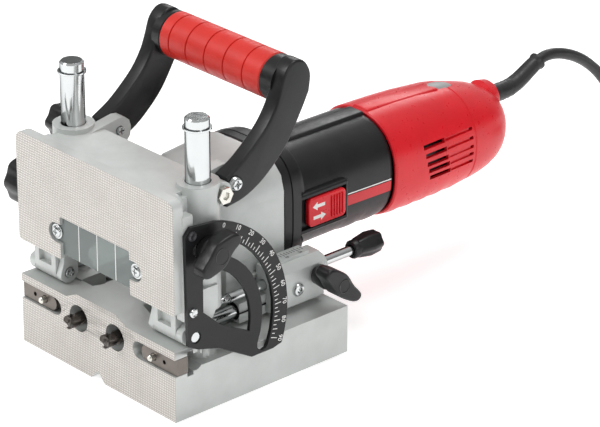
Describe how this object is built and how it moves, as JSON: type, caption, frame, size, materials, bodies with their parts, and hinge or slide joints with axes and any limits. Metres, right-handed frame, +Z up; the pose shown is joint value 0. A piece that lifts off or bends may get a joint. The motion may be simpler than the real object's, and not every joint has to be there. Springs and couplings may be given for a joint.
{
  "type": "biscuit joiner",
  "caption": "Hand-held joiner for cabinet edges: a motor on a sliding gearbox drives two parallel bits through a head with a tilting, height-adjustable fence and a bow handle.",
  "frame": {"origin": "centre of the sole, the flat underside of the base", "axes": "+Z up; -Y is the front, where the bits come out; +X is the right side, with the angle plate; the motor lies along +Y"},
  "size_m": [0.2415, 0.5975, 0.1845],
  "materials": {
    "milled": "satin",
    "cast": "satin",
    "chrome": "polished",
    "steel": "satin",
    "spring": "satin",
    "bright": "satin",
    "iron": "satin",
    "black": "satin",
    "red": "satin",
    "grip": "matte",
    "clear": "clear",
    "brass": "satin",
    "carbon": "matte",
    "rubber": "matte"
  },
  "bodies": {
    "base": {"base_block": "milled", "post_left": "chrome", "post_right": "chrome", "snap_ring_left": "iron", "snap_ring_right": "iron", "guide_rod_left": "chrome", "guide_rod_right": "chrome", "return_spring": "spring"},
    "plunge_unit": {"gearbox_casing": "cast", "gear_plate": "cast", "spindle_bush_left": "brass", "spindle_bush_right": "brass", "guide_bush_left": "black", "guide_bush_right": "black", "motor_housing": "black", "rear_cover": "red", "stator": "iron", "front_bearing": "steel", "rear_bearing": "steel", "carbon_brush_left": "carbon", "carbon_brush_right": "carbon", "depth_stop_block": "cast", "cord_boot": "rubber", "cord": "rubber", "cord_coil": "rubber", "plug": "rubber"},
    "armature": {"armature_shaft": "steel", "armature_core": "iron", "commutator": "brass", "cooling_fan": "black"},
    "idler": {"idler_gear": "steel"},
    "spindle_left": {"spindle_left": "steel", "bit_left": "steel"},
    "spindle_right": {"spindle_right": "steel", "bit_right": "steel"},
    "switch": {"switch_slider": "red"},
    "depth_stop": {"depth_rod": "chrome", "depth_knob": "black"},
    "depth_lock": {"depth_lock_knob": "black"},
    "carriage": {"carriage_casting": "cast", "handle_arm_left": "black", "handle_arm_right": "black", "handle_screw_left": "chrome", "handle_screw_right": "chrome", "grip": "grip", "ear_bolt": "bright", "hinge_pin_left": "chrome", "hinge_pin_right": "chrome"},
    "fence": {"fence_plate": "milled", "sight_window": "clear", "window_screw_left": "chrome", "window_screw_right": "chrome", "angle_quadrant": "black"},
    "angle_clamp": {"angle_knob": "black"},
    "height_adjuster": {"height_knob": "black"},
    "height_lock": {"height_lock_knob": "black"},
    "index_left": {"index_plate_left": "steel"},
    "index_right": {"index_plate_right": "steel"},
    "index_pin_left": {"index_pin_left": "bright"},
    "index_pin_right": {"index_pin_right": "bright"}
  },
  "joints": [
    {"name": "plunge_slide", "type": "slide", "parent": "base", "child": "plunge_unit", "axis": [0, -1, 0], "range_m": [0, 0.02], "stiffness_N_per_m": 300, "springref_m": -0.02},
    {"name": "armature_spin", "type": "hinge", "parent": "plunge_unit", "child": "armature", "pos_m": [0, 0.02, 0.07575], "axis": [0, 1, 0], "continuous": true},
    {"name": "idler_spin", "type": "hinge", "parent": "plunge_unit", "child": "idler", "pos_m": [0, 0.02, 0.05475], "axis": [0, 1, 0], "continuous": true},
    {"name": "spindle_left_spin", "type": "hinge", "parent": "plunge_unit", "child": "spindle_left", "pos_m": [-0.016, 0.02, 0.033], "axis": [0, 1, 0], "continuous": true},
    {"name": "spindle_right_spin", "type": "hinge", "parent": "plunge_unit", "child": "spindle_right", "pos_m": [0.016, 0.02, 0.033], "axis": [0, 1, 0], "continuous": true},
    {"name": "switch_slide", "type": "slide", "parent": "plunge_unit", "child": "switch", "axis": [0, -1, 0], "range_m": [0, 0.005]},
    {"name": "depth_rod_slide", "type": "slide", "parent": "plunge_unit", "child": "depth_stop", "axis": [0, 1, 0], "range_m": [0, 0.015]},
    {"name": "depth_lock_turn", "type": "hinge", "parent": "plunge_unit", "child": "depth_lock", "pos_m": [0.06, 0.0525, 0.0486], "axis": [1, 0, 0], "range_deg": [0, 60]},
    {"name": "carriage_slide", "type": "slide", "parent": "base", "child": "carriage", "axis": [0, 0, 1], "range_m": [0, 0.03]},
    {"name": "fence_tilt", "type": "hinge", "parent": "carriage", "child": "fence", "pos_m": [0, -0.0519, 0.0497], "axis": [1, 0, 0], "range_deg": [0, 90]},
    {"name": "angle_clamp_turn", "type": "hinge", "parent": "carriage", "child": "angle_clamp", "pos_m": [0.072, -0.0448, 0.1012], "axis": [1, 0, 0], "range_deg": [0, 90]},
    {"name": "height_adjuster_turn", "type": "hinge", "parent": "carriage", "child": "height_adjuster", "pos_m": [-0.07, -0.0454, 0.092], "axis": [1, 0, 0], "range_deg": [-344, 0]},
    {"name": "height_lock_turn", "type": "hinge", "parent": "carriage", "child": "height_lock", "pos_m": [-0.066, -0.024, 0.1234], "axis": [1, 0, 0], "range_deg": [0, 60]},
    {"name": "index_left_slide", "type": "slide", "parent": "base", "child": "index_left", "axis": [-1, 0, 0], "range_m": [0, 0.01]},
    {"name": "index_right_slide", "type": "slide", "parent": "base", "child": "index_right", "axis": [1, 0, 0], "range_m": [0, 0.01]},
    {"name": "index_pin_left_slide", "type": "slide", "parent": "index_left", "child": "index_pin_left", "axis": [0, 1, 0], "range_m": [0, 0.0035], "stiffness_N_per_m": 300, "springref_m": -0.003},
    {"name": "index_pin_right_slide", "type": "slide", "parent": "index_right", "child": "index_pin_right", "axis": [0, 1, 0], "range_m": [0, 0.0035], "stiffness_N_per_m": 300, "springref_m": -0.003}
  ],
  "couplings": [
    {"joint": "idler_spin", "follows": "armature_spin", "ratio": -0.4},
    {"joint": "spindle_left_spin", "follows": "armature_spin", "ratio": 0.5},
    {"joint": "spindle_right_spin", "follows": "armature_spin", "ratio": 0.5},
    {"joint": "height_adjuster_turn", "follows": "carriage_slide", "rad_per_m": -200}
  ]
}
